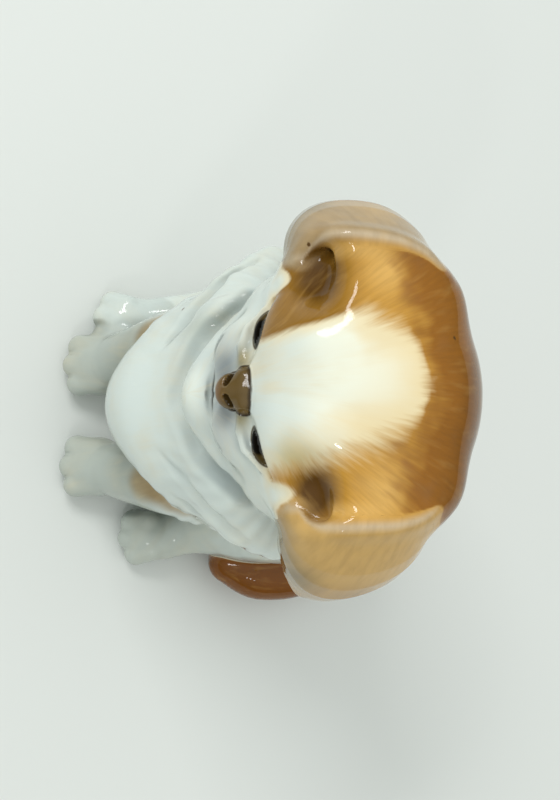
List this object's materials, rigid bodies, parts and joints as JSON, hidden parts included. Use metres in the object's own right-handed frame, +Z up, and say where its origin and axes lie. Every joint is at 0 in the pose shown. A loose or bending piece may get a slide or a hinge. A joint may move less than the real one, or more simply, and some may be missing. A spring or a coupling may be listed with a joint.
{
  "type": "sitting dog figurine",
  "caption": "Glazed ceramic figurine of a small long-coated puppy, sitting and looking forward, luted together from hollow and pressed castings.",
  "frame": {"origin": "on the resting plane, in the foot of the torso, on the dog's mid plane and under its skull", "axes": "+Z up, -Y the way the dog faces, +X to the dog's left"},
  "size_m": [0.0772, 0.0774, 0.1029],
  "materials": {
    "white_glaze": "glossy white glaze with soft tan patches",
    "head_glaze": "glossy glaze, brown cap round a white blaze",
    "tan_glaze": "glossy tan glaze",
    "brown_glaze": "glossy rich brown glaze"
  },
  "bodies": {
    "root": {"torso_casting": "white_glaze", "head_casting": "head_glaze", "left_ear": "tan_glaze", "right_ear": "tan_glaze", "left_foreleg": "white_glaze", "right_foreleg": "white_glaze", "left_hind_leg": "white_glaze", "right_hind_leg": "white_glaze", "tail": "brown_glaze"}
  },
  "joints": []
}
